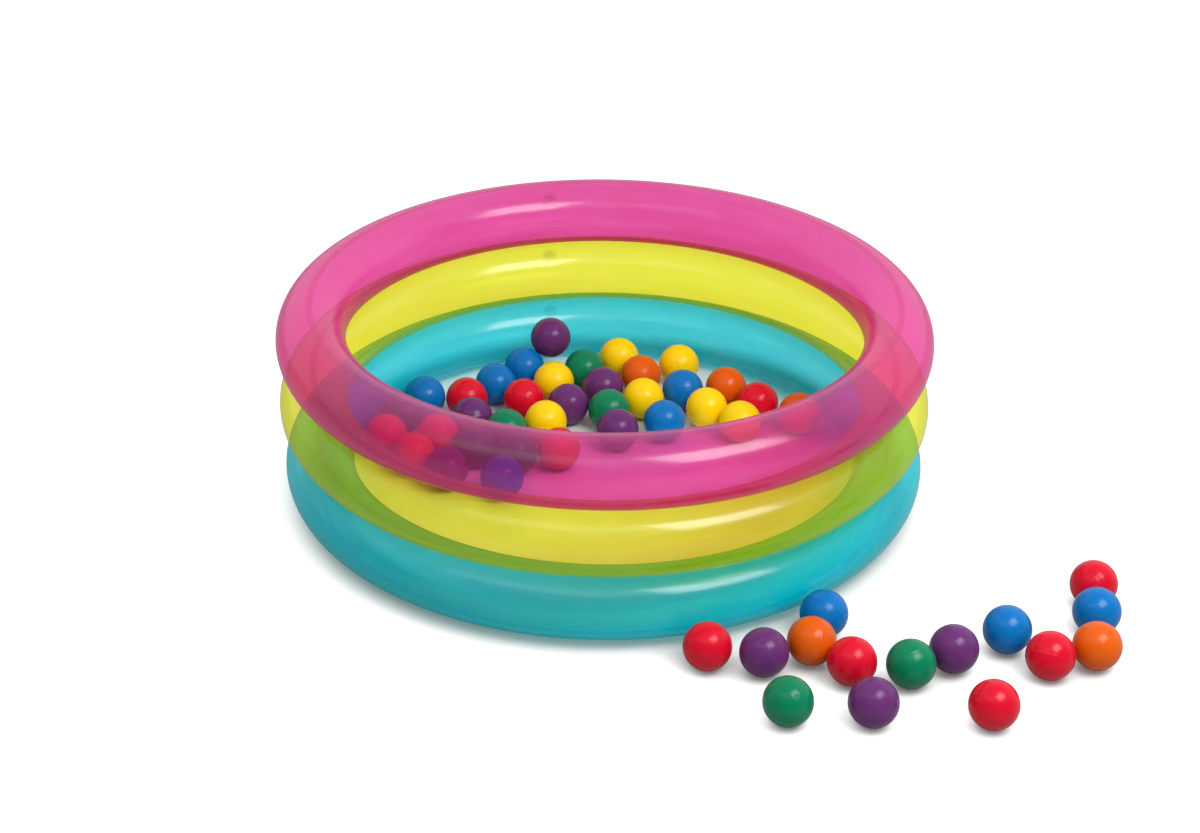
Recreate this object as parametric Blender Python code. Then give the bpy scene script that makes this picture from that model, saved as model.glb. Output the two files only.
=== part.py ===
# Inflatable ball pit: three stacked rings of clear tinted film on a floor sheet, a valve with a
# hinged stopper on the back of each ring, and fifty hollow balls, 35 in the pit and 15 beside it.
# Metres, +Z up. The origin is the middle of the floor sheet's underside.
import math

import bmesh
import bpy
from mathutils import Matrix, Vector

# Rings and floor
PIT_DIAMETER = 0.860
TUBE_DIAMETER = 0.091
FLOOR_DRAW_IN = 0.003  # the floor sheet holds the bottom ring's centre line this much further in
FILM_THICKNESS = 0.0004
SHEET_WELD_WIDTH = 0.016  # the weld band under the bottom ring, half of it past the centre line
TOUCH_GAP = 0.0003
RING_SEGMENTS = 48
TUBE_SIDES = 16

# Valves, one on each ring
VALVE_SEGMENT_COUNT = 13  # whole ring segments from +X to the one that carries the valves
FLANGE_DIAMETER = 0.022
FLANGE_THICKNESS = 0.0010
STEM_DIAMETER = 0.0100
STEM_HEIGHT = 0.0050
BORE_DIAMETER = 0.0052
PLUG_TOP_DIAMETER = 0.0046
PLUG_TIP_DIAMETER = 0.0036
PLUG_LENGTH = 0.0030
CAP_THICKNESS = 0.0013
STRAP_WIDTH = 0.0040
STRAP_THICKNESS = 0.0009
STRAP_REACH = 0.0016  # from the stem's side to the fold in the strap
PULL_TAB_REACH = 0.0035
VALVE_SIDES = 16

# Balls
BALL_DIAMETER = 0.059
BALL_CLEARANCE = 0.0006
WALL_CLEARANCE = 0.0020
BALL_MERIDIANS = 12
BALL_PARALLELS = 10
SETTLE_ROUNDS = 400

PIT_RADIUS = PIT_DIAMETER / 2
TUBE_RADIUS = TUBE_DIAMETER / 2
BALL_RADIUS = BALL_DIAMETER / 2
RING_RADIUS = PIT_RADIUS - TUBE_RADIUS
BOTTOM_RING_RADIUS = RING_RADIUS - FLOOR_DRAW_IN
RING_SPACING = TUBE_DIAMETER + TOUCH_GAP
FIRST_RING_HEIGHT = FILM_THICKNESS + TOUCH_GAP + TUBE_RADIUS
INNER_BALL_HEIGHT = FILM_THICKNESS + TOUCH_GAP + BALL_RADIUS
MERGE_DISTANCE = TOUCH_GAP / 100

# Rings from the ground up: name, film
RINGS = (
    ("bottom_ring", "aqua_film"),
    ("middle_ring", "yellow_film"),
    ("top_ring", "pink_film"),
)

# Places of the balls in the pit, as shares of the furthest that a ball's middle lies from the
# pit's own middle
INNER_BALL_SHARES = (
    ("blue", -0.382, 0.852),
    ("green", -0.098, 0.840),
    ("yellow", 0.072, 0.969),
    ("yellow", 0.360, 0.903),
    ("blue", -0.518, 0.676),
    ("yellow", -0.236, 0.709),
    ("purple", -0.006, 0.660),
    ("orange", 0.174, 0.786),
    ("blue", 0.371, 0.642),
    ("orange", 0.576, 0.674),
    ("blue", -0.838, 0.541),
    ("red", -0.632, 0.538),
    ("red", -0.372, 0.532),
    ("purple", -0.166, 0.486),
    ("green", 0.024, 0.440),
    ("yellow", 0.183, 0.551),
    ("yellow", 0.477, 0.463),
    ("red", 0.716, 0.522),
    ("yellow", -0.267, 0.320),
    ("purple", -0.598, 0.345),
    ("green", -0.447, 0.242),
    ("purple", 0.063, 0.247),
    ("blue", 0.278, 0.337),
    ("yellow", 0.625, 0.337),
    ("orange", 0.902, 0.421),
    ("red", -0.983, 0.176),
    ("red", -0.751, 0.183),
    ("orange", -0.843, 0.007),
    ("red", -0.211, 0.063),
    ("purple", -0.688, -0.119),
    ("blue", -0.442, -0.192),
    ("green", -0.569, 0.077),
    ("green", -0.388, 0.024),
    ("green", -0.927, 0.376),
)
# Places of the balls beside the pit, as shares of a ball's diameter, from the place of the one
# that lies against the bottom ring at this bearing in degrees
OUTER_GROUP_BEARING = -54.6
OUTER_BALL_SHARES = (
    ("red", -2.43, -1.21),
    ("purple", -1.31, -1.40),
    ("blue", 0.00, 0.00),
    ("orange", -0.33, -0.98),
    ("red", 0.41, -1.68),
    ("green", -0.95, -3.03),
    ("green", 1.57, -1.74),
    ("purple", 2.49, -1.21),
    ("purple", 0.69, -3.04),
    ("blue", 3.67, -0.50),
    ("red", 3.00, -3.07),
    ("red", 4.38, -1.41),
    ("orange", 5.38, -1.05),
    ("blue", 5.62, 0.20),
    ("red", 5.76, 1.23),
)
# One more ball lies on the first ball in the pit, towards a bearing in degrees. It meets its carrier
# corner to corner, so many of the carrier's parallels above its widest one.
RAISED_BALL_COLOUR = "purple"
RAISED_BALL_BEARING = 38.0
RAISED_BALL_PARALLELS = 2

COLOURS = {
    "pink_film": (0.703, 0.088, 0.314),
    "yellow_film": (0.753, 0.745, 0.078),
    "aqua_film": (0.008, 0.445, 0.479),
    "sheet_film": (0.800, 0.880, 0.910),
    "valve_plastic": (0.780, 0.800, 0.810),
    "red": (0.716, 0.010, 0.017),
    "orange": (0.815, 0.153, 0.007),
    "yellow": (0.982, 0.651, 0.003),
    "green": (0.002, 0.238, 0.112),
    "blue": (0.001, 0.138, 0.440),
    "purple": (0.175, 0.023, 0.162),
}
FILM_ROUGHNESS = 0.12
FILM_ALPHA = 0.60
BALL_ROUGHNESS = 0.30
SMOOTH_ANGLE = 40.0  # degrees between faces that still shade as one surface


def clear_scene():
    for obj in list(bpy.data.objects):
        bpy.data.objects.remove(obj, do_unlink=True)


def material(name):
    """One Principled finish for each film or plastic, made when first asked for."""
    found = bpy.data.materials.get(name)
    if found:
        return found
    made = bpy.data.materials.new(name)
    made.use_nodes = True
    shader = made.node_tree.nodes["Principled BSDF"]
    shader.inputs["Base Color"].default_value = (*COLOURS[name], 1)
    shader.inputs["Metallic"].default_value = 0
    is_film = name.endswith("film")
    shader.inputs["Roughness"].default_value = FILM_ROUGHNESS if is_film else BALL_ROUGHNESS
    shader.inputs["Alpha"].default_value = FILM_ALPHA if is_film else 1
    return made


def add_object(name, mesh, finish, parent, place=Matrix()):
    obj = bpy.data.objects.new(name, mesh)
    bpy.context.collection.objects.link(obj)
    obj.data.materials.append(material(finish))
    obj.parent = parent
    obj.matrix_local = place
    return obj


def finished_mesh(name, bm, smooth=True):
    """Turns a bmesh into a mesh whose faces point out."""
    bmesh.ops.recalc_face_normals(bm, faces=bm.faces)
    mesh = bpy.data.meshes.new(name)
    bm.to_mesh(mesh)
    bm.free()
    if smooth:
        mesh.shade_smooth()
        mesh.set_sharp_from_angle(angle=math.radians(SMOOTH_ANGLE))
    return mesh


def turned_mesh(name, outline, sides):
    """Spins a closed outline of (radius, height) points once round Z."""
    bm = bmesh.new()
    points = [bm.verts.new((radius, 0, height)) for radius, height in outline]
    edges = [bm.edges.new((a, b)) for a, b in zip(points, points[1:] + points[:1])]
    bmesh.ops.spin(
        bm, geom=points + edges, cent=(0, 0, 0), axis=(0, 0, 1), dvec=(0, 0, 0),
        angle=math.tau, steps=sides, use_merge=True,
    )
    bmesh.ops.remove_doubles(bm, verts=bm.verts, dist=MERGE_DISTANCE)
    axis_edges = [e for e in bm.edges if all(v.co.xy.length < MERGE_DISTANCE for v in e.verts)]
    bmesh.ops.delete(bm, geom=axis_edges, context="EDGES")
    return finished_mesh(name, bm)


def block(low, high):
    """A box between two corners."""
    bm = bmesh.new()
    low, high = Vector(low), Vector(high)
    place = Matrix.Translation((low + high) / 2) @ Matrix.Diagonal((*(high - low), 1))
    bmesh.ops.create_cube(bm, size=1, matrix=place)
    return finished_mesh("block", bm, smooth=False)


def united(mesh, blocks):
    """Joins blocks to a mesh with Boolean unions and returns the one closed mesh."""
    body = bpy.data.objects.new("body", mesh)
    bpy.context.collection.objects.link(body)
    helpers = []
    for piece in blocks:
        helper = bpy.data.objects.new("helper", piece)
        bpy.context.collection.objects.link(helper)
        helpers.append(helper)
        union = body.modifiers.new("union", "BOOLEAN")
        union.operation = "UNION"
        union.solver = "EXACT"
        union.object = helper
    depsgraph = bpy.context.evaluated_depsgraph_get()
    result = bpy.data.meshes.new_from_object(body.evaluated_get(depsgraph))
    for obj in helpers + [body]:
        bpy.data.objects.remove(obj, do_unlink=True)
    return result


def ring_height(rings_below):
    return FIRST_RING_HEIGHT + rings_below * RING_SPACING


def ring_radius(rings_below):
    return RING_RADIUS if rings_below else BOTTOM_RING_RADIUS


def add_ring(name, film, rings_below, pit):
    """A tube whose many sides touch the round section from outside, so one side lies flat
    under it, one on top, and one faces out for the valve."""
    corner_radius = TUBE_RADIUS / math.cos(math.pi / TUBE_SIDES)
    outline = []
    for side in range(TUBE_SIDES):
        angle = math.tau * (side + 0.5) / TUBE_SIDES
        outline.append((
            ring_radius(rings_below) + corner_radius * math.cos(angle),
            corner_radius * math.sin(angle),
        ))
    mesh = turned_mesh(name, outline, RING_SEGMENTS)
    place = Matrix.Translation((0, 0, ring_height(rings_below)))
    return add_object(name, mesh, film, pit, place)


def add_floor_sheet(pit):
    bm = bmesh.new()
    place = Matrix.Translation((0, 0, FILM_THICKNESS / 2))
    radius = BOTTOM_RING_RADIUS + SHEET_WELD_WIDTH / 2
    bmesh.ops.create_cone(
        bm, cap_ends=True, segments=RING_SEGMENTS, radius1=radius, radius2=radius,
        depth=FILM_THICKNESS, matrix=place,
    )
    return add_object("floor_sheet", finished_mesh("floor_sheet", bm), "sheet_film", pit)


def valve_body_mesh():
    """Flange and stem with the air bore, and the strap's fixed end beside the stem. The valve's
    own +Z runs out of the ring, and its +X runs to the strap's fold."""
    flange, stem, bore = FLANGE_DIAMETER / 2, STEM_DIAMETER / 2, BORE_DIAMETER / 2
    outline = [
        (bore, 0), (flange, 0), (flange, FLANGE_THICKNESS), (stem, FLANGE_THICKNESS),
        (stem, STEM_HEIGHT), (bore, STEM_HEIGHT),
    ]
    fold = stem + STRAP_REACH
    strap_end = block(
        (fold - TOUCH_GAP - STRAP_THICKNESS, -STRAP_WIDTH / 2, FLANGE_THICKNESS / 2),
        (fold - TOUCH_GAP, STRAP_WIDTH / 2, STEM_HEIGHT),
    )
    return united(turned_mesh("valve_body", outline, VALVE_SIDES), [strap_end])


def valve_stopper_mesh():
    """Cap, tapered plug, pull tab and the strap's free end, measured from the strap's fold."""
    fold = STEM_DIAMETER / 2 + STRAP_REACH
    cap, half_gap = STEM_DIAMETER / 2, TOUCH_GAP / 2
    outline = [
        (0, half_gap - PLUG_LENGTH), (PLUG_TIP_DIAMETER / 2, half_gap - PLUG_LENGTH),
        (PLUG_TOP_DIAMETER / 2, half_gap), (cap, half_gap), (cap, half_gap + CAP_THICKNESS),
        (0, half_gap + CAP_THICKNESS),
    ]
    mesh = turned_mesh("valve_stopper", outline, VALVE_SIDES)
    inset = (CAP_THICKNESS - STRAP_THICKNESS) / 2
    low, high = half_gap + inset, half_gap + inset + STRAP_THICKNESS
    strap = block((cap / 2, -STRAP_WIDTH / 2, low), (fold, STRAP_WIDTH / 2, high))
    tab = block((-cap - PULL_TAB_REACH, -STRAP_WIDTH / 2, low), (-cap / 2, STRAP_WIDTH / 2, high))
    mesh = united(mesh, [strap, tab])
    mesh.transform(Matrix.Translation((-fold, 0, 0)))
    return mesh


def add_valve(level, rings_below, pit):
    """Seats a valve flat on the outer side of its ring, with the strap to one side."""
    bearing = math.tau * (VALVE_SEGMENT_COUNT + 0.5) / RING_SEGMENTS
    outer_radius = ring_radius(rings_below) + TUBE_RADIUS
    seat = outer_radius * math.cos(math.pi / RING_SEGMENTS) + TOUCH_GAP
    outward = Vector((math.cos(bearing), math.sin(bearing), 0))
    upward = Vector((0, 0, 1))
    along = upward.cross(outward)
    place = Matrix((along, outward.cross(along), outward)).transposed().to_4x4()
    place.translation = outward * seat + upward * ring_height(rings_below)
    add_object(f"{level}_valve_body", valve_body_mesh(), "valve_plastic", pit, place)
    fold = Vector((STEM_DIAMETER / 2 + STRAP_REACH, 0, STEM_HEIGHT + TOUCH_GAP / 2))
    stopper_place = place @ Matrix.Translation(fold)
    add_object(f"{level}_valve_stopper", valve_stopper_mesh(), "valve_plastic", pit, stopper_place)


def reach_beside_tube():
    """Level distance from the bottom ring's centre line to a ball that lies against it."""
    contact = TUBE_RADIUS + BALL_RADIUS + WALL_CLEARANCE
    return math.sqrt(contact**2 - (FIRST_RING_HEIGHT - INNER_BALL_HEIGHT) ** 2)


def inner_limit():
    """Furthest a ball's middle lies from the pit's middle, on the floor or lifted past a ring."""
    lifted = RING_RADIUS - TUBE_RADIUS - BALL_RADIUS - WALL_CLEARANCE
    return min(BOTTOM_RING_RADIUS - reach_beside_tube(), lifted)


def outer_limit():
    lifted = PIT_RADIUS + BALL_RADIUS + WALL_CLEARANCE
    return max(BOTTOM_RING_RADIUS + reach_beside_tube(), lifted)


def raised_offset():
    """From the carrier's middle to the middle of the ball that lies on it."""
    bearing = math.radians(RAISED_BALL_BEARING)
    slope = RAISED_BALL_PARALLELS * math.pi / BALL_PARALLELS
    level = Vector((math.cos(bearing), math.sin(bearing), 0)) * math.cos(slope)
    return (level + Vector((0, 0, math.sin(slope)))) * (BALL_DIAMETER + TOUCH_GAP)


def pushed_apart(spots, spacing):
    """One round: each pair that lies too close moves half of what is missing, both ways."""
    moved = False
    for index, spot in enumerate(spots):
        for other in spots[:index]:
            apart = spot - other
            missing = spacing - apart.length
            if missing > 0:
                push = apart.normalized() * missing / 2
                spot += push
                other -= push
                moved = True
    return moved


def settled_inner_spots():
    """Middles of the balls that lie on the sheet, clear of each other, of the walls and of the
    raised ball's way up."""
    spacing, limit = BALL_DIAMETER + BALL_CLEARANCE, inner_limit()
    spots = [Vector((x, y)) * limit for _, x, y in INNER_BALL_SHARES]
    carrier = spots[0]
    for _ in range(SETTLE_ROUNDS):
        moved = pushed_apart(spots, spacing + TOUCH_GAP)
        raised = carrier + raised_offset().xy
        if raised.length > limit:
            carrier -= raised.normalized() * (raised.length - limit)
        for spot in spots:
            apart = spot - raised
            if spot is not carrier and apart.length < spacing:
                spot += apart.normalized() * (spacing + TOUCH_GAP - apart.length)
                moved = True
            if spot.length > limit:
                spot *= limit / spot.length
        if not moved:
            break
    return spots


def settled_outer_spots():
    spacing, limit = BALL_DIAMETER + BALL_CLEARANCE, outer_limit()
    bearing = math.radians(OUTER_GROUP_BEARING)
    first = Vector((math.cos(bearing), math.sin(bearing))) * limit
    spots = [first + Vector((x, y)) * BALL_DIAMETER for _, x, y in OUTER_BALL_SHARES]
    for _ in range(SETTLE_ROUNDS):
        moved = pushed_apart(spots, spacing + TOUCH_GAP)
        for spot in spots:
            if spot.length < limit:
                spot *= limit / spot.length
        if not moved:
            break
    return spots


def ball_mesh():
    """Its poles lie above and below its middle, and one meridian faces its own +X."""
    bm = bmesh.new()
    bmesh.ops.create_uvsphere(
        bm, u_segments=BALL_MERIDIANS, v_segments=BALL_PARALLELS, radius=BALL_RADIUS
    )
    return finished_mesh("ball", bm)


def add_balls(pit):
    """Names run by colour: first the balls on the sheet, then the raised one, then those beside
    the pit."""
    turn = Matrix.Rotation(math.radians(RAISED_BALL_BEARING), 4, "Z")
    places = [
        (colour, Matrix.Translation((*spot, INNER_BALL_HEIGHT)) @ turn)
        for (colour, _, _), spot in zip(INNER_BALL_SHARES, settled_inner_spots())
    ]
    offset = raised_offset()
    pole_to_carrier = offset.to_track_quat("Z", "Y").to_matrix().to_4x4()
    raised_middle = places[0][1].translation + offset
    places.append((RAISED_BALL_COLOUR, Matrix.Translation(raised_middle) @ pole_to_carrier))
    places += [
        (colour, Matrix.Translation((*spot, BALL_RADIUS)))
        for (colour, _, _), spot in zip(OUTER_BALL_SHARES, settled_outer_spots())
    ]
    counts = {}
    for colour, place in places:
        counts[colour] = counts.get(colour, 0) + 1
        name = f"ball_{colour}_{counts[colour]:02d}"
        add_object(name, ball_mesh(), colour, pit, place)


def build():
    clear_scene()
    pit = bpy.data.objects.new("ball_pit", None)
    bpy.context.collection.objects.link(pit)
    add_floor_sheet(pit)
    for rings_below, (name, film) in enumerate(RINGS):
        add_ring(name, film, rings_below, pit)
        add_valve(name.removesuffix("_ring"), rings_below, pit)
    add_balls(pit)


build()
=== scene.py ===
"""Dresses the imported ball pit: three welded rings of clear tinted film, a thin floor film, a valve
with its stopper on each ring, and hollow play balls. Sizes are in metres and angles in radians."""

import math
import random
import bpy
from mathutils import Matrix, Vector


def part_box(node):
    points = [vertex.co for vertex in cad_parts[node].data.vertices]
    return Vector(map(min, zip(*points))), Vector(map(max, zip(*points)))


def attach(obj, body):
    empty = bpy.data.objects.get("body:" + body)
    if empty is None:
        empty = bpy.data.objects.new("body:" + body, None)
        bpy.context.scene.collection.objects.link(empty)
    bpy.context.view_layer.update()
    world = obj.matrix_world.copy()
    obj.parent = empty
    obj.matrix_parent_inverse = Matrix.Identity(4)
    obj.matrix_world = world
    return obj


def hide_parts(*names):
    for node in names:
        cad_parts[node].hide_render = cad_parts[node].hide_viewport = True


bl_info = {
    "name": "Ball Pit",
    "version": (1, 0, 0),
    "blender": (4, 5, 0),
    "location": "View3D > Sidebar > Ball Pit",
    "description": "Models the film rings, floor film, valves and play balls of an inflatable ball pit",
    "category": "Object",
}

import bpy
from bpy.props import FloatProperty, FloatVectorProperty, IntProperty, PointerProperty
from mathutils import Matrix, Vector

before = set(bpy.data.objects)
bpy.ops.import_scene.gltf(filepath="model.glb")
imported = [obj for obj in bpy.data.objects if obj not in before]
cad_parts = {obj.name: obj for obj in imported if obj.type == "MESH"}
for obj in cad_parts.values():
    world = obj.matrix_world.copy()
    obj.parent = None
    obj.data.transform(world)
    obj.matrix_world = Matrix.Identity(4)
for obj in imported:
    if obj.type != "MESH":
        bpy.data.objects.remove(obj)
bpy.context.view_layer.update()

# Rings from the ground up, with the record's slot that each takes its finish from
LEVELS = (("bottom", "aqua_film"), ("middle", "yellow_film"), ("top", "pink_film"))
BALL_COLOURS = ("red", "orange", "yellow", "green", "blue", "purple")
BALL_NODES = sorted(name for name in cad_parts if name.startswith("ball_"))
HALF_TURN = math.pi
QUARTER_TURN = math.pi / 2
# Edges that bend less than the first angle are shaded smooth, and past the second they are rounded
SMOOTH_BELOW = math.radians(40)
ROUNDED_ABOVE = math.radians(50)
# A face looks straight up where its normal's Z is past this, and straight down past its negative
LOOKS_UP = 0.9
# Clear film mirrors more and more towards its edge, by this power of the slant
MIRROR_POWER = 5
# Share by which a film's inner side mirrors less than its outer side
INNER_MIRROR_CUT = 0.6
# How many clear faces a line of sight may cross
CLEAR_CROSSINGS = 48


def colour(name, about, value):
    return FloatVectorProperty(
        name=name, description=about, subtype="COLOR", size=3, default=value, min=0, max=1,
    )


def length(name, about, value):
    return FloatProperty(name=name, description=about, subtype="DISTANCE", unit="LENGTH", default=value)


def share(name, about, value):
    return FloatProperty(name=name, description=about, subtype="FACTOR", default=value, min=0, max=1)


def angle(name, about, degrees):
    return FloatProperty(name=name, description=about, subtype="ANGLE", default=math.radians(degrees))


def number(name, about, value):
    return FloatProperty(name=name, description=about, default=value)


def count(name, about, value):
    return IntProperty(name=name, description=about, default=value, min=1)


class RingSettings(bpy.types.PropertyGroup):
    """The three inflated rings of clear tinted film."""

    top_tint: colour("Top tint", "What one layer of the top film lets through", (0.905, 0.330, 0.635))
    middle_tint: colour("Middle tint", "The same for the middle film", (0.942, 0.954, 0.290))
    bottom_tint: colour("Bottom tint", "The same for the bottom film", (0.325, 0.885, 0.940))
    top_body: colour("Top body", "Colour that the top film itself scatters", (0.950, 0.120, 0.520))
    middle_body: colour("Middle body", "Colour that the middle film scatters", (0.880, 0.880, 0.050))
    bottom_body: colour("Bottom body", "Colour that the bottom film scatters", (0.001, 0.720, 0.840))
    top_haze: share("Top haze", "How much of the light one layer of the top film scatters", 0.08)
    middle_haze: share("Middle haze", "The same for the middle film", 0.055)
    bottom_haze: share("Bottom haze", "The same for the bottom film", 0.12)
    slant_haze: number("Slanting haze", "How many times its haze film gains when seen edge on", 3.5)
    head_on: share("Head-on gloss", "Share of the light that clear film mirrors head on", 0.036)
    edge_on: share("Edge-on gloss", "Share that it mirrors edge on", 0.6)
    roughness: share("Film roughness", "Roughness of the film's gloss", 0.20)
    weld_width: length("Weld width", "Width of the flat weld between two rings", 0.008)
    inner_pucker: length("Inner puckers", "Depth of the puckers on the inner side of a weld", 0.0008)
    outer_pucker: length("Outer puckers", "Depth of the puckers on the outer side of a weld", 0.0003)
    pucker_reach: length("Pucker reach", "How far from the weld the puckers are deepest", 0.006)
    unevenness: length("Unevenness", "Depth of the film's slow hollows", 0.0006)
    ring_steps: count("Ring steps", "Faces round a ring", 480)
    tube_steps: count("Tube steps", "Faces round a tube", 72)
    seed: count("Seed", "Sets how the film puckers", 3)


class SheetSettings(bpy.types.PropertyGroup):
    """The floor film under the bottom ring."""

    tint: colour("Tint", "What one side of the floor film lets through", (0.940, 0.975, 0.990))
    body: colour("Body", "Colour that the floor film scatters", (0.900, 0.930, 0.950))
    haze: share("Haze", "How much of the light each side of the floor film scatters", 0.86)
    wrinkle_height: length("Wrinkle height", "Height of the floor film's wrinkles", 0.0014)
    steps: count("Steps", "Faces round the floor film", 240)
    rows: count("Rows", "Rows of faces from the rim to the middle", 44)
    seed: count("Seed", "Sets how the floor film wrinkles", 5)


class ValveSettings(bpy.types.PropertyGroup):
    """The valve on the back of each ring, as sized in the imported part."""

    bearing: angle("Bearing", "Direction of the valves from the pit's middle", 101.25)
    flange: length("Flange", "Diameter of the welded flange", 0.022)
    flange_thickness: length("Flange thickness", "Thickness of the welded flange", 0.0006)
    stem: length("Stem", "Diameter of the stem and the cap", 0.010)
    stem_height: length("Stem height", "Height of the stem over the seat", 0.005)
    bore: length("Bore", "Diameter of the air bore", 0.0052)
    plug_top: length("Plug top", "Diameter of the plug under the cap", 0.0046)
    plug_tip: length("Plug tip", "Diameter of the plug's tip", 0.0036)
    plug: length("Plug", "Length of the plug", 0.003)
    cap_thickness: length("Cap thickness", "Thickness of the cap", 0.0013)
    strap_width: length("Strap width", "Width of the strap and the pull tab", 0.004)
    strap_thickness: length("Strap thickness", "Thickness of the strap and the pull tab", 0.0009)
    strap_reach: length("Strap reach", "From the stem's side to the fold in the strap", 0.0016)
    tab_reach: length("Tab reach", "How far the pull tab stands past the cap", 0.0035)
    touch_gap: length("Touch gap", "Gap between pieces that touch", 0.0003)
    edge: length("Edge", "Rounding of the moulded edges", 0.00025)
    tint: colour("Tint", "What one side of the vinyl lets through", (0.990, 0.995, 0.997))
    body: colour("Body", "Colour that the vinyl scatters", (0.920, 0.930, 0.940))
    haze: share("Haze", "How much of the light the vinyl scatters", 0.05)
    edge_on: share("Edge-on gloss", "Share of the light that the vinyl mirrors edge on", 0.25)
    sides: count("Sides", "Faces round the stem", 48)


class BallSettings(bpy.types.PropertyGroup):
    """The hollow play balls."""

    red: colour("Red", "Colour of the red balls", (0.660, 0.004, 0.024))
    orange: colour("Orange", "Colour of the orange balls", (0.710, 0.105, 0.003))
    yellow: colour("Yellow", "Colour of the yellow balls", (0.980, 0.640, 0.003))
    green: colour("Green", "Colour of the green balls", (0.001, 0.200, 0.088))
    blue: colour("Blue", "Colour of the blue balls", (0.001, 0.158, 0.480))
    purple: colour("Purple", "Colour of the purple balls", (0.130, 0.027, 0.150))
    roughness: share("Roughness", "Roughness of the balls' satin gloss", 0.20)
    shine: share("Shine", "Specular level of the balls", 0.22)
    line_width: length("Line width", "Width of the mould's parting line", 0.0009)
    line_height: length("Line height", "How far the parting line stands out", 0.00012)
    mark_depth: length("Mark depth", "Depth of the round mark at the pole", 0.00012)
    meridians: count("Meridians", "Faces round a ball", 56)
    parallels: count("Parallels", "Rows of faces from pole to pole", 28)
    seed: count("Seed", "Sets how the balls lie turned", 11)


class StageSettings(bpy.types.PropertyGroup):
    """Camera, lamps and pale floor."""

    aim: FloatVectorProperty(
        name="Aim", description="Point that the camera looks at", subtype="XYZ", size=3,
        default=(-0.00532, 0.0, 0.09186),
    )
    distance: length("Distance", "From the aim to the camera", 2.876)
    elevation: angle("Elevation", "Height of the camera over the horizon", 28.599)
    roll: angle("Roll", "Turn of the camera about its line of sight", 0.615)
    lens: number("Lens", "Focal length in millimetres on a sensor 36 mm wide", 64.053)
    ambient: number("Ambient", "Strength of the even light from all round", 0.29)
    overhead: number("Overhead", "Strength added to it straight overhead", 0.55)
    studio: number("Studio", "Brightness of the studio behind the camera in reflections", 0.10)
    ceiling: number("Ceiling", "Brightness of the ceiling in reflections", 0.45)
    ceiling_edge: angle("Ceiling edge", "Height at which the walls start to fade into the ceiling", 45)
    ceiling_full: angle("Ceiling full", "Height from which only the ceiling is seen", 65)
    key_bearing: angle("Key bearing", "Direction of the bright softbox, right of the camera", 46)
    key_elevation: angle("Key elevation", "Height of the bright softbox", 51)
    key_radiance: number("Key radiance", "Brightness of the bright softbox", 9.6)
    key_width: length("Key width", "Width of the bright softbox", 1.40)
    key_height: length("Key height", "Height of the bright softbox", 1.05)
    fill_bearing: angle("Fill bearing", "Direction of the dim softbox, right of the camera", -28)
    fill_elevation: angle("Fill elevation", "Height of the dim softbox", 52)
    fill_radiance: number("Fill radiance", "Brightness of the dim softbox", 1.0)
    fill_width: length("Fill width", "Width of the dim softbox", 2.30)
    fill_height: length("Fill height", "Height of the dim softbox", 0.80)
    lamp_distance: length("Lamp distance", "From the pit's middle to each softbox", 2.6)
    floor_size: length("Floor size", "Side of the pale floor", 40.0)
    floor_gap: length("Floor gap", "Drop of the pale floor under the pit", 0.0006)
    floor_white: share("Floor white", "How much light the pale floor throws back", 0.42)
    under_lift: number("Lift everywhere", "Brightness that the floor gains in the picture everywhere", 0.10)
    # The open lift and the lift through film fade where a piece is within the contact reach, which paints a
    # contact shadow on the floor round the pit and under each ball
    floor_lift: number("Open lift", "What it gains besides where no piece is near", 0.76)
    film_lift: number("Lift through film", "The same gain where it is seen through film", 0.48)
    painted_shade_reach: length("Contact reach", "How near a piece has to be to take that gain away", 0.06)
    far_lift: number("Far lift", "What the floor gains besides far from the pit", 0.08)
    behind_film: share("Behind film", "Brightness of the backdrop seen through film", 0.80)


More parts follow.
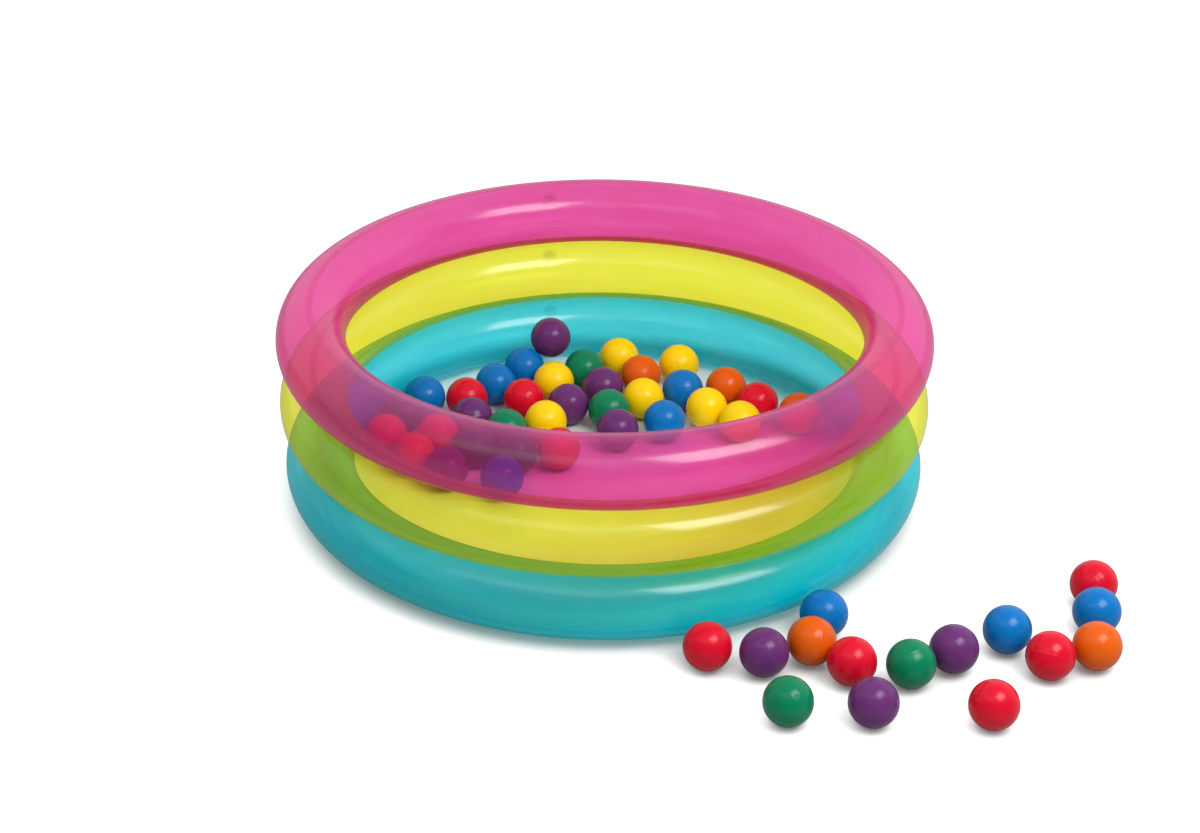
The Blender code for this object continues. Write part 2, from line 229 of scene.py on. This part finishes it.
class Shade:
    """One socket of a node tree. Arithmetic on it adds the Math nodes."""

    def __init__(self, tree, socket=None):
        self.tree = tree
        self.socket = socket

    def node(self, kind, settings=None, inputs=None, output=0):
        """Adds a node, sets its settings and then the values or links of its sockets."""
        made = self.tree.nodes.new("ShaderNode" + kind)
        for name, value in (settings or {}).items():
            setattr(made, name, value)
        for name, value in (inputs or {}).items():
            if isinstance(value, Shade):
                self.tree.links.new(value.socket, made.inputs[name])
            else:
                made.inputs[name].default_value = value
        return Shade(self.tree, made.outputs[output] if made.outputs else None)

    def maths(self, operation, *values):
        return self.node("Math", {"operation": operation}, dict(enumerate(values)))

    def __add__(self, other):
        return self.maths("ADD", self, other)

    def __radd__(self, other):
        return self.maths("ADD", other, self)

    def __sub__(self, other):
        return self.maths("SUBTRACT", self, other)

    def __rsub__(self, other):
        return self.maths("SUBTRACT", other, self)

    def __mul__(self, other):
        return self.maths("MULTIPLY", self, other)

    def __rmul__(self, other):
        return self.maths("MULTIPLY", other, self)

    def __truediv__(self, other):
        return self.maths("DIVIDE", self, other)

    def __rtruediv__(self, other):
        return self.maths("DIVIDE", other, self)

    def __pow__(self, other):
        return self.maths("POWER", self, other)

    def __abs__(self):
        return self.maths("ABSOLUTE", self)

    def between(self, low, high):
        """0 up to low, 1 from high, and a smooth step from one to the other."""
        settings = {"interpolation_type": "SMOOTHSTEP"}
        return self.node("MapRange", settings, {"Value": self, "From Min": low, "From Max": high})

    def ranging(self, low, high):
        """The low value where this is 0, and the high one where it is 1."""
        return low + (high - low) * self

    def xyz(self):
        return [self.node("SeparateXYZ", None, {0: self}, axis) for axis in range(3)]

    def noise(self, scale, detail=2.0, roughness=0.5, along=None):
        """Noise on this vector, from 0 to 1. A fourth coordinate may go along with it."""
        settings = {"noise_dimensions": "3D" if along is None else "4D"}
        inputs = {"Vector": self, "Scale": scale, "Detail": detail, "Roughness": roughness}
        if along is not None:
            inputs["W"] = along
        return self.node("TexNoise", settings, inputs)

    def bump(self, distance):
        """A normal from this height, whose rise from 0 to 1 stands for the distance."""
        return self.node("Bump", None, {"Height": self, "Distance": distance, "Strength": 1.0})

    def mixed(self, first, second):
        """The second shader where this is 1, and the first where it is 0."""
        return self.node("MixShader", None, {0: self, 1: first, 2: second})

    def place(self):
        return self.node("TexCoord", output="Object")


def new_finish(name):
    """An empty material, and the Shade that adds nodes to it."""
    made = bpy.data.materials.new(name)
    made.use_nodes = True
    made.node_tree.nodes.clear()
    return made, Shade(made.node_tree)


def set_surface(shade, surface):
    shade.node("OutputMaterial", None, {"Surface": surface})


def film_surface(shade, tints, body, haze, thick, gloss):
    """Clear film: it lets tinted light through, scatters a little and mirrors by its angle.
    tints are what a thin and a thick place let through, and thick says which."""
    thin_sight, thick_sight = [shade.node("BsdfTransparent", None, {"Color": (*t, 1)}) for t in tints]
    scatter = shade.node("BsdfPrincipled", None, {
        "Base Color": (*body, 1), "Roughness": 0.5, "Specular IOR Level": 0.0,
    })
    sight = thick.mixed(thin_sight, thick_sight)
    hazy = haze.mixed(sight, scatter)
    mirror = shade.node("BsdfGlossy", None, {
        "Color": (1, 1, 1, 1), "Roughness": gloss["roughness"], "Normal": gloss["normal"],
    })
    # At a blend of a half, Facing goes from 0 head on to 1 edge on
    slant = shade.node("LayerWeight", None, {"Blend": 0.5, "Normal": gloss["normal"]}, "Facing")
    inside = shade.node("NewGeometry", output="Backfacing")
    rising = (gloss["edge_on"] - gloss["head_on"]) * slant**MIRROR_POWER
    mirrored = (gloss["head_on"] + rising) * (1 - INNER_MIRROR_CUT * inside)
    return mirrored.mixed(hazy, mirror)


def ring_finish(name, level, ring, middle, tube, settings):
    """Film whose bands run along the ring, with a fine emboss on its welds."""
    tint = Vector(getattr(settings, level + "_tint"))
    body = getattr(settings, level + "_body")
    made, shade = new_finish(name)
    x, y, z = shade.place().xyz()
    reach = (x * x + y * y) ** 0.5
    across = reach - ring
    height = z - middle
    along_cells, across_cells, finer = 3.0, 34.0, 3.1
    round_ring = shade.node("CombineXYZ", None, {
        "X": x / reach * along_cells, "Y": y / reach * along_cells, "Z": height * across_cells,
    })
    bands = round_ring.noise(scale=1.0, detail=3.0, roughness=0.55, along=across * across_cells)
    fine = round_ring.noise(scale=finer, along=across * across_cells * finer)
    half_weld = settings.weld_width / 2
    beside_weld = abs(across).between(half_weld * 0.8, half_weld * 1.3)
    at_top_or_foot = abs(height).between(tube * 0.93, tube * 0.97)
    on_weld = (1 - beside_weld) * at_top_or_foot
    emboss_pitch = 0.0014
    turn = shade.maths("ARCTAN2", y, x)
    rows = shade.maths("SINE", turn * (ring * math.tau / emboss_pitch))
    columns = shade.maths("SINE", across * (math.tau / emboss_pitch))
    band_relief, fine_relief, weld_relief, relief_height = 0.55, 0.12, 0.10, 0.0004
    relief = bands * band_relief + fine * fine_relief + rows * columns * on_weld * weld_relief
    slant = shade.node("LayerWeight", None, {"Blend": 0.5}, "Facing")
    band_thickness, weld_thickness, slant_power = 0.25, 0.6, 3
    uneven = bands.between(0.3, 0.8) * band_thickness
    thick = shade.maths("MINIMUM", uneven + on_weld * weld_thickness + slant**slant_power, 1)
    clouded = getattr(settings, level + "_haze") * bands.ranging(0.7, 1.3)
    haze = shade.maths("MINIMUM", clouded * (1 + settings.slant_haze * slant), 1)
    gloss = {
        "roughness": settings.roughness * fine.ranging(0.6, 1.4),
        "normal": relief.bump(relief_height),
        "head_on": settings.head_on,
        "edge_on": settings.edge_on,
    }
    layers_where_thick = 3
    deeper = Vector([part**layers_where_thick for part in tint])
    set_surface(shade, film_surface(shade, (tint, deeper), body, haze, thick, gloss))
    return made


def sheet_finish(settings, ring_settings):
    """Crumpled pale film that lets little through."""
    made, shade = new_finish("floor_film")
    place = shade.place()
    crumple = place.noise(scale=9.0, detail=4.0, roughness=0.6)
    fine = place.noise(scale=70.0)
    fine_relief, relief_height = 0.08, 0.004
    gloss = {
        "roughness": fine.ranging(0.16, 0.28),
        "normal": (crumple + fine * fine_relief).bump(relief_height),
        "head_on": ring_settings.head_on,
        "edge_on": ring_settings.edge_on,
    }
    haze = settings.haze * crumple.ranging(0.9, 1.1)
    thick = crumple.between(0.35, 0.65)
    tints = (Vector(settings.tint), Vector(settings.tint) * 0.97)
    set_surface(shade, film_surface(shade, tints, settings.body, haze, thick, gloss))
    return made


def vinyl_finish(settings, ring_settings):
    """The valves' soft moulded vinyl, nearly clear, with a fine grain."""
    made, shade = new_finish("clear_vinyl")
    place = shade.place()
    cloud = place.noise(scale=160.0, detail=3.0, roughness=0.55)
    grain = place.noise(scale=1800.0)
    grain_height = 0.00003
    gloss = {
        "roughness": cloud.ranging(0.20, 0.30),
        "normal": grain.bump(grain_height),
        "head_on": ring_settings.head_on,
        "edge_on": settings.edge_on,
    }
    haze = settings.haze * cloud.ranging(0.8, 1.2)
    tints = (Vector(settings.tint), Vector(settings.tint) * 0.98)
    set_surface(shade, film_surface(shade, tints, settings.body, haze, cloud, gloss))
    return made


def ball_finish(name, settings):
    """Satin plastic with slow clouds in its colour, fine grain and a few rubbed places."""
    made, shade = new_finish(name + "_plastic")
    tone = Vector(getattr(settings, name))
    place = shade.place()
    cloud = place.noise(scale=26.0, detail=3.0, roughness=0.55)
    grain = place.noise(scale=1500.0)
    rubbed = place.noise(scale=95.0, detail=4.0, roughness=0.7).between(0.60, 0.78)
    # Sockets 6 and 7 are the two colours that the Mix node goes between, and output 2 is its colour
    base = shade.node("Mix", {"data_type": "RGBA"}, {
        0: cloud, 6: (*(tone * 0.93), 1), 7: (*(tone * 1.05), 1),
    }, 2)
    cloud_roughness, rubbed_roughness = 0.05, 0.10
    rubbed_relief, relief_height = 0.3, 0.000025
    surface = shade.node("BsdfPrincipled", None, {
        "Base Color": base,
        "Roughness": settings.roughness + cloud_roughness * cloud + rubbed_roughness * rubbed,
        "Specular IOR Level": settings.shine,
        "Normal": (grain + rubbed * rubbed_relief).bump(relief_height),
    })
    set_surface(shade, surface)
    return made


def deselect():
    """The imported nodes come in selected, and an operator acts on all that is selected."""
    if bpy.context.object and bpy.context.object.mode != "OBJECT":
        bpy.ops.object.mode_set(mode="OBJECT")
    bpy.ops.object.select_all(action="DESELECT")


def pick(kind, choose):
    """Leaves only those points, edges or faces of the active mesh selected that choose says."""
    bpy.ops.object.mode_set(mode="EDIT")
    bpy.ops.mesh.select_all(action="DESELECT")
    bpy.ops.mesh.select_mode(type={"vertices": "VERT", "edges": "EDGE", "polygons": "FACE"}[kind])
    bpy.ops.object.mode_set(mode="OBJECT")
    mesh = bpy.context.object.data
    for part in getattr(mesh, kind):
        part.select = choose(part)
    bpy.ops.object.mode_set(mode="EDIT")


def settle(piece, name, finish):
    """Names a finished piece, puts its place in its mesh, shades it smooth and gives it its finish."""
    if bpy.context.object.mode != "OBJECT":
        bpy.ops.object.mode_set(mode="OBJECT")
    deselect()
    piece.select_set(True)
    bpy.context.view_layer.objects.active = piece
    bpy.ops.object.transform_apply(location=True, rotation=True, scale=True)
    bpy.ops.object.shade_smooth_by_angle(angle=SMOOTH_BELOW)
    piece.name = piece.data.name = name
    piece.data.materials.clear()
    piece.data.materials.append(finish)


def apply_modifier(piece, kind, **settings):
    deselect()
    piece.select_set(True)
    bpy.context.view_layer.objects.active = piece
    modifier = piece.modifiers.new(kind.lower(), kind)
    for name, value in settings.items():
        setattr(modifier, name, value)
    bpy.ops.object.modifier_apply(modifier=modifier.name)


def extrude(rise):
    """Extrudes the selected faces of the active mesh straight up, or down where rise is negative."""
    bpy.ops.mesh.extrude_region_move(TRANSFORM_OT_translate={"value": (0, 0, rise)})


def waves(turn, harmonics):
    """A sum of sines that closes on itself after a full turn, from -1 to 1."""
    return sum(math.sin(whole * turn + start) for whole, start in harmonics) / len(harmonics)


def draw_harmonics(draw, low, high, how_many):
    """Whole numbers of waves to a turn, from low to high, each with where its wave starts."""
    return [(draw.randint(low, high), draw.uniform(0, math.tau)) for _ in range(how_many)]


def ring_form(level):
    """Centre-line radius, height and tube radius of a packed ring."""
    low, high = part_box(level + "_ring")
    tube = (high.z - low.z) / 2
    return high.x - tube, (high.z + low.z) / 2, tube


def gather_film(skin, ring, middle, tube, settings, draw):
    """Moves the film in along its normals: puckers beside each weld and slow hollows between."""
    puckers = {
        (inner, upper): draw_harmonics(draw, low=48, high=96, how_many=4)
        for inner in (0, 1) for upper in (0, 1)
    }
    slow_ring = draw_harmonics(draw, low=5, high=15, how_many=3)
    slow_tube = [draw_harmonics(draw, low=1, high=3, how_many=2) for _ in slow_ring]
    half_weld = settings.weld_width / 2
    pucker_sharpness = 1.5
    for point in skin.data.vertices:
        turn = math.atan2(point.co.y, point.co.x)
        reach = math.hypot(point.co.x, point.co.y)
        lean = math.atan2(point.co.z - middle, reach - ring)
        from_weld = (tube * abs(abs(lean) - QUARTER_TURN) - half_weld) / settings.pucker_reach
        inner, upper = int(abs(lean) > QUARTER_TURN), int(lean > 0)
        depth = settings.inner_pucker if inner else settings.outer_pucker
        near = from_weld * math.exp(1 - from_weld) if from_weld > 0 else 0
        gathered = max(0, waves(turn, puckers[inner, upper])) ** pucker_sharpness * depth * near
        hollow = sum(
            math.sin(whole * turn + start) * waves(lean, around)
            for (whole, start), around in zip(slow_ring, slow_tube)
        ) / len(slow_ring)
        slow = settings.unevenness * (0.5 + 0.5 * hollow) * abs(math.cos(lean))
        flat = math.cos(lean)
        outward = Vector((math.cos(turn) * flat, math.sin(turn) * flat, math.sin(lean)))
        point.co -= outward * (gathered + slow)


def add_ring(level, slot, settings, draw):
    ring, middle, tube = ring_form(level)
    deselect()
    bpy.ops.mesh.primitive_torus_add(
        location=(0, 0, middle), major_radius=ring, minor_radius=tube,
        major_segments=settings.ring_steps, minor_segments=settings.tube_steps,
    )
    skin = bpy.context.object
    for side in (-1, 1):
        pick("vertices", lambda v: (
            v.co.z * side > 0 and abs(v.co.xy.length - ring) < settings.weld_width / 2
        ))
        bpy.ops.transform.resize(value=(1, 1, 0), center_override=(0, 0, middle + side * tube))
    settle(skin, level + "_film_ring", ring_finish(slot, level, ring, middle, tube, settings))
    gather_film(skin, ring, middle, tube, settings, draw)
    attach(skin, "pit")
    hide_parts(level + "_ring")


def wrinkle_sheet(sheet, rim, settings, draw):
    """Lifts the floor film into low wrinkles, flat under the balls and under the bottom ring."""
    ring, _, tube = ring_form("bottom")
    feet = [sum(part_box(node), Vector()) / 2 for node in BALL_NODES]
    flat_round_ball, fade = 0.008, 0.030
    rim_power, fold_power, fold_ways = 4, 3, 4
    # A fold's wave turns by this many radians in a metre
    fold_turn = 60
    spokes = draw_harmonics(draw, low=20, high=44, how_many=3)
    slants = [draw.uniform(0, HALF_TURN) for _ in range(fold_ways)]
    starts = [draw.uniform(0, math.tau) for _ in slants]
    for point in sheet.data.vertices:
        x, y, _ = point.co
        reach = point.co.xy.length
        turn = math.atan2(y, x)
        foot = min((point.co.xy - ball.xy).length for ball in feet)
        clear_of_balls = min(1, max(0, (foot - flat_round_ball) / fade))
        clear_of_ring = min(1, max(0, (ring - tube / 2 - reach) / fade))
        to_rim = (reach / rim) ** rim_power
        radial = max(0, waves(turn + reach, spokes)) * to_rim
        folds = sum(
            max(0, math.sin((x * math.cos(s) + y * math.sin(s)) * fold_turn + start)) ** fold_power
            for s, start in zip(slants, starts)
        ) / len(slants)
        point.co.z += settings.wrinkle_height * (radial + folds) * clear_of_balls * clear_of_ring


def add_sheet(settings, ring_settings, draw):
    low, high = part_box("floor_sheet")
    rim, thickness = high.x, high.z - low.z
    deselect()
    bpy.ops.mesh.primitive_circle_add(vertices=settings.steps, radius=rim, fill_type="NOTHING")
    sheet = bpy.context.object
    bpy.ops.object.mode_set(mode="EDIT")
    bpy.ops.mesh.select_all(action="SELECT")
    for row in range(settings.rows - 1, 0, -1):
        bpy.ops.mesh.extrude_region_move()
        shrink = row / (row + 1)
        bpy.ops.transform.resize(value=(shrink, shrink, 1), center_override=(0, 0, 0))
    bpy.ops.mesh.extrude_region_move()
    bpy.ops.mesh.merge(type="CENTER")
    bpy.ops.mesh.select_all(action="SELECT")
    bpy.ops.mesh.normals_make_consistent(inside=False)
    bpy.ops.object.mode_set(mode="OBJECT")
    if sheet.data.polygons[0].normal.z < 0:
        sheet.data.flip_normals()
    wrinkle_sheet(sheet, rim, settings, draw)
    apply_modifier(sheet, "SOLIDIFY", thickness=thickness, offset=1)
    settle(sheet, "floor_film", sheet_finish(settings, ring_settings))
    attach(sheet, "pit")
    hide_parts("floor_sheet")


def valve_place(level, settings):
    """The valve's own frame: +Z out of the ring, +X along it to the strap's fold. Also how far
    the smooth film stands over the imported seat."""
    ring, middle, tube = ring_form(level)
    outward = Vector((math.cos(settings.bearing), math.sin(settings.bearing), 0))
    along = Vector((0, 0, 1)).cross(outward)
    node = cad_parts[level + "_valve_body"]
    seat = min(v.co.dot(outward) for v in node.data.vertices)
    place = Matrix((along, outward.cross(along), outward)).transposed().to_4x4()
    place.translation = outward * seat + Vector((0, 0, middle))
    return place, ring + tube - seat


def add_bar(low, high):
    """A block between two corners of the valve's own frame, ready for a Boolean union."""
    low, high = Vector(low), Vector(high)
    deselect()
    bpy.ops.mesh.primitive_cube_add(size=1, location=(low + high) / 2, scale=high - low)
    return bpy.context.object


def unite(piece, bars):
    for bar in bars:
        apply_modifier(piece, "BOOLEAN", operation="UNION", solver="EXACT", object=bar)
        bpy.data.objects.remove(bar, do_unlink=True)


def add_disc(radius, low, high, settings):
    """An upright disc in the valve's own frame."""
    deselect()
    bpy.ops.mesh.primitive_cylinder_add(
        vertices=settings.sides, radius=radius, depth=high - low, location=(0, 0, (low + high) / 2),
    )
    bpy.ops.object.transform_apply(location=True)
    return bpy.context.object


def round_edges(piece, settings):
    apply_modifier(
        piece, "BEVEL", width=settings.edge, segments=2, limit_method="ANGLE", angle_limit=ROUNDED_ABOVE,
    )


def add_valve_seat(level, settings, finish):
    """Flange that hugs the film, stem with its bore, and the strap's fixed end."""
    place, film_height = valve_place(level, settings)
    # The flange lies closer to the film than pieces that only touch
    base = film_height + settings.touch_gap / 4
    top = base + settings.flange_thickness
    flange, stem, bore = settings.flange / 2, settings.stem / 2, settings.bore / 2
    seat = add_disc(flange, base, top, settings)
    pick("polygons", lambda face: face.normal.z > LOOKS_UP)
    bpy.ops.mesh.inset(thickness=flange - stem)
    extrude(settings.stem_height - top)
    bpy.ops.mesh.inset(thickness=stem - bore)
    extrude(top - settings.stem_height)
    bpy.ops.object.mode_set(mode="OBJECT")
    half = settings.strap_width / 2
    outer = stem + settings.strap_reach - settings.touch_gap
    inner = outer - settings.strap_thickness
    inside_flange = base + settings.flange_thickness / 2
    unite(seat, [add_bar((inner, -half, inside_flange), (outer, half, settings.stem_height))])
    round_edges(seat, settings)
    # The flange bends to the film, tightly round the tube and gently along the ring
    ring, _, tube = ring_form(level)
    for point in seat.data.vertices:
        if point.co.z < top + settings.edge and point.co.xy.length > bore:
            point.co.z -= point.co.y**2 / (2 * tube) + point.co.x**2 / (2 * (ring + tube))
    seat.matrix_world = place
    settle(seat, level + "_valve_seat", finish)
    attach(seat, "pit")
    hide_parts(level + "_valve_body")


def add_valve_cap(level, settings, finish):
    """Cap with its tapered plug, the pull tab and the strap's free end."""
    place, _ = valve_place(level, settings)
    low = settings.stem_height + settings.touch_gap
    high = low + settings.cap_thickness
    cap = settings.stem / 2
    stopper = add_disc(cap, low, high, settings)
    pick("polygons", lambda face: face.normal.z < -LOOKS_UP)
    bpy.ops.mesh.inset(thickness=cap - settings.plug_top / 2)
    extrude(-settings.plug)
    taper = settings.plug_tip / settings.plug_top
    bpy.ops.transform.resize(value=(taper, taper, 1), center_override=(0, 0, low - settings.plug))
    dimple_edge_share, dimple_depth_share = 0.45, 0.3
    pick("polygons", lambda face: face.normal.z > LOOKS_UP)
    bpy.ops.mesh.inset(thickness=cap * dimple_edge_share)
    extrude(-settings.cap_thickness * dimple_depth_share)
    bpy.ops.object.mode_set(mode="OBJECT")
    half = settings.strap_width / 2
    inset = (settings.cap_thickness - settings.strap_thickness) / 2
    foot, head = low + inset, high - inset
    inside_cap_share = 0.8
    inside = cap * inside_cap_share
    unite(stopper, [
        add_bar((inside, -half, foot), (cap + settings.strap_reach, half, head)),
        add_bar((-cap - settings.tab_reach, -half, foot), (-inside, half, head)),
    ])
    round_edges(stopper, settings)
    stopper.matrix_world = place
    settle(stopper, level + "_valve_cap", finish)
    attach(stopper, level + "_valve_stopper")
    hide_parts(level + "_valve_stopper")


def ball_form(radius, settings):
    """One ball about the origin: a raised parting line round it and a shallow mark at the pole."""
    deselect()
    bpy.ops.mesh.primitive_uv_sphere_add(
        segments=settings.meridians, ring_count=settings.parallels, radius=radius,
    )
    form = bpy.context.object
    # Points and edges nearer than this to a plane lie on it
    tiny = settings.line_height / 10
    mark_edge_share = 0.03
    mesh = form.data
    pick("edges", lambda e: all(abs(mesh.vertices[v].co.z) < tiny for v in e.vertices))
    bpy.ops.mesh.bevel(offset=settings.line_width / 2, segments=2, affect="EDGES")
    pick("vertices", lambda v: abs(v.co.z) < tiny)
    grow = 1 + settings.line_height / radius
    bpy.ops.transform.resize(value=(grow, grow, 1), center_override=(0, 0, 0))
    pole_cap = radius * math.cos(HALF_TURN / settings.parallels) - tiny
    pick("vertices", lambda v: v.co.z > pole_cap)
    bpy.ops.mesh.select_mode(type="FACE")
    bpy.ops.mesh.inset(thickness=radius * mark_edge_share)
    bpy.ops.transform.translate(value=(0, 0, -settings.mark_depth))
    bpy.ops.object.mode_set(mode="OBJECT")
    return form


def any_turn(draw):
    """A rotation drawn so that each direction is as likely as the next."""
    axis = Vector((draw.gauss(0, 1), draw.gauss(0, 1), draw.gauss(0, 1))).normalized()
    return Matrix.Rotation(draw.uniform(0, math.tau), 4, axis)


def add_balls(settings):
    """A ball on each packed ball, copied from one form and turned its own way."""
    low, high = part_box(BALL_NODES[0])
    form = ball_form((high.z - low.z) / 2, settings)
    finishes = {name: ball_finish(name, settings) for name in BALL_COLOURS}
    draw = random.Random(settings.seed)
    for node in BALL_NODES:
        low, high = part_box(node)
        ball = bpy.data.objects.new("play_" + node, form.data.copy())
        bpy.context.collection.objects.link(ball)
        ball.data.transform(Matrix.Translation((low + high) / 2) @ any_turn(draw))
        name = node.split("_")[1]
        settle(ball, "play_" + node, finishes[name])
        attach(ball, node)
        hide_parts(node)
    bpy.data.objects.remove(form, do_unlink=True)


def add_softbox(name, bearing, elevation, radiance, width, height, settings):
    """A rectangular lamp that faces the pit's middle, as bright as its radiance says."""
    back = Vector((
        math.sin(bearing) * math.cos(elevation), -math.cos(bearing) * math.cos(elevation),
        math.sin(elevation),
    ))
    deselect()
    bpy.ops.object.light_add(
        type="AREA", location=Vector(settings.aim) + back * settings.lamp_distance,
        rotation=back.to_track_quat("Z", "Y").to_euler(),
    )
    lamp = bpy.context.object
    lamp.name = name
    lamp.data.shape = "RECTANGLE"
    lamp.data.size = width
    lamp.data.size_y = height
    lamp.data.energy = radiance * math.pi * width * height


def ray_kinds(shade):
    """Four sockets, each 1 for its kind of ray and else 0: from the camera, mirrored, bent, and
    passed through film."""
    kinds = ("Is Camera Ray", "Is Glossy Ray", "Is Transmission Ray")
    passed = shade.maths("MINIMUM", shade.node("LightPath", output="Transparent Depth"), 1)
    return *(shade.node("LightPath", output=kind) for kind in kinds), passed


def add_world(settings):
    """Even light from all round, and what the camera and reflections see: a white backdrop with a
    dimmer ceiling over it and a dark studio behind the camera."""
    world = bpy.data.worlds.new("studio")
    world.use_nodes = True
    world.node_tree.nodes.clear()
    bpy.context.scene.world = world
    shade = Shade(world.node_tree)
    _, forward, up = shade.node("TexCoord", output="Generated").xyz()
    behind_camera = (-1 * forward).between(-0.35, 0.35)
    over = up.between(math.sin(settings.ceiling_edge), math.sin(settings.ceiling_full))
    eye, mirror, bent, passed = ray_kinds(shade)
    walls = 1 - behind_camera * (1 - settings.studio)
    backdrop = walls * (1 - over) + over * settings.ceiling
    through = 1 - eye * passed * (1 - settings.behind_film)
    seen = shade.maths("MINIMUM", eye + mirror + bent, 1)
    around = settings.ambient + settings.overhead * shade.maths("MAXIMUM", up, 0)
    strength = seen * backdrop * through + (1 - seen) * around
    light = shade.node("Background", None, {"Color": (1, 1, 1, 1), "Strength": strength})
    shade.node("OutputWorld", None, {"Surface": light})


def add_floor(settings):
    """A pale floor that keeps the shadows and turns white in the picture where it is lit; its glow fades
    near each piece, which paints a contact shadow.
    """
    deselect()
    bpy.ops.mesh.primitive_plane_add(size=settings.floor_size, location=(0, 0, -settings.floor_gap))
    floor = bpy.context.object
    made, shade = new_finish("pale_floor")
    eye, mirror, bent, passed = ray_kinds(shade)
    mirrored_share = 0.1
    seen = shade.maths("MINIMUM", eye + (mirror + bent) * mirrored_share, 1)
    x, y, _ = shade.place().xyz()
    reach = (x * x + y * y) ** 0.5
    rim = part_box("floor_sheet")[1].x
    # Ambient occlusion fades the glow where a piece is near: a painted contact shadow round the pit and
    # under each ball, on top of the shadows that the lamps cast. near holds the lift with this painted
    # shade taken out
    clear_of_painted_contact_shade = shade.node("AmbientOcclusion", {"samples": 8}, {"Distance": settings.painted_shade_reach}, "AO")
    open_lift = settings.floor_lift * (1 - passed) + settings.film_lift * passed
    near = clear_of_painted_contact_shade.between(0.15, 0.76) * open_lift
    far = reach.between(rim * 1.5, rim * 6) * settings.far_lift
    glow = seen * (settings.under_lift + near + far)
    white = settings.floor_white
    lit = shade.node("BsdfDiffuse", None, {"Color": (white, white, white, 1)})
    lift = shade.node("Emission", None, {"Color": (1, 1, 1, 1), "Strength": glow})
    set_surface(shade, shade.node("AddShader", None, {0: lit, 1: lift}))
    settle(floor, "pale_floor", made)


def add_camera(settings):
    back = Vector((0, -math.cos(settings.elevation), math.sin(settings.elevation)))
    tilt = Matrix.Rotation(QUARTER_TURN - settings.elevation, 3, "X")
    roll = Matrix.Rotation(settings.roll, 3, "Z")
    deselect()
    bpy.ops.object.camera_add(
        location=Vector(settings.aim) + back * settings.distance, rotation=(tilt @ roll).to_euler(),
    )
    camera = bpy.context.object
    camera.data.lens = settings.lens
    bpy.context.scene.camera = camera


class BALLPIT_OT_stage(bpy.types.Operator):
    """Add the camera, the softboxes, the even light and the pale floor"""

    bl_idname = "ballpit.stage"
    bl_label = "Stage"
    bl_options = {"REGISTER", "UNDO"}

    def execute(self, context):
        settings = context.scene.ball_pit_stage
        add_camera(settings)
        add_world(settings)
        for name in ("key", "fill"):
            values = [getattr(settings, f"{name}_{part}") for part in (
                "bearing", "elevation", "radiance", "width", "height",
            )]
            add_softbox(name + "_softbox", *values, settings)
        add_floor(settings)
        context.scene.view_settings.view_transform = "Standard"
        context.scene.cycles.transparent_max_bounces = CLEAR_CROSSINGS
        return {"FINISHED"}


class BALLPIT_OT_rings(bpy.types.Operator):
    """Add the three inflated film rings"""

    bl_idname = "ballpit.rings"
    bl_label = "Film Rings"
    bl_options = {"REGISTER", "UNDO"}

    def execute(self, context):
        settings = context.scene.ball_pit_rings
        draw = random.Random(settings.seed)
        for level, slot in LEVELS:
            add_ring(level, slot, settings, draw)
        return {"FINISHED"}


class BALLPIT_OT_floor_film(bpy.types.Operator):
    """Add the thin film that the rings and the balls stand on"""

    bl_idname = "ballpit.floor_film"
    bl_label = "Floor Film"
    bl_options = {"REGISTER", "UNDO"}

    def execute(self, context):
        settings = context.scene.ball_pit_sheet
        add_sheet(settings, context.scene.ball_pit_rings, random.Random(settings.seed))
        return {"FINISHED"}


class BALLPIT_OT_valves(bpy.types.Operator):
    """Add a valve and its stopper to the back of each ring"""

    bl_idname = "ballpit.valves"
    bl_label = "Valves"
    bl_options = {"REGISTER", "UNDO"}

    def execute(self, context):
        settings = context.scene.ball_pit_valves
        finish = vinyl_finish(settings, context.scene.ball_pit_rings)
        for level, _ in LEVELS:
            add_valve_seat(level, settings, finish)
            add_valve_cap(level, settings, finish)
        return {"FINISHED"}


class BALLPIT_OT_balls(bpy.types.Operator):
    """Add the play balls in the pit and beside it"""

    bl_idname = "ballpit.balls"
    bl_label = "Play Balls"
    bl_options = {"REGISTER", "UNDO"}

    def execute(self, context):
        add_balls(context.scene.ball_pit_balls)
        return {"FINISHED"}


class BALLPIT_PT_panel(bpy.types.Panel):
    """Lists the pit's pieces and their sizes"""

    bl_label = "Ball Pit"
    bl_space_type = "VIEW_3D"
    bl_region_type = "UI"
    bl_category = "Ball Pit"

    def draw(self, context):
        for operator, group in STEPS:
            box = self.layout.box()
            box.operator("ballpit." + operator)
            settings = getattr(context.scene, group)
            for name in settings.bl_rna.properties.keys():
                if name not in ("rna_type", "name"):
                    box.prop(settings, name)


# Each operator in the order that it is run, with its group of settings
STEPS = (
    ("stage", "ball_pit_stage"),
    ("floor_film", "ball_pit_sheet"),
    ("rings", "ball_pit_rings"),
    ("valves", "ball_pit_valves"),
    ("balls", "ball_pit_balls"),
)
GROUPS = {
    "ball_pit_stage": StageSettings,
    "ball_pit_sheet": SheetSettings,
    "ball_pit_rings": RingSettings,
    "ball_pit_valves": ValveSettings,
    "ball_pit_balls": BallSettings,
}
CLASSES = (
    *GROUPS.values(), BALLPIT_OT_stage, BALLPIT_OT_floor_film, BALLPIT_OT_rings, BALLPIT_OT_valves,
    BALLPIT_OT_balls, BALLPIT_PT_panel,
)


def register():
    for cls in CLASSES:
        bpy.utils.register_class(cls)
    for name, group in GROUPS.items():
        setattr(bpy.types.Scene, name, PointerProperty(type=group))


def unregister():
    for name in GROUPS:
        delattr(bpy.types.Scene, name)
    for cls in reversed(CLASSES):
        bpy.utils.unregister_class(cls)


def main():
    register()
    for operator, _ in STEPS:
        getattr(bpy.ops.ballpit, operator)()


if __name__ == "__main__":
    main()
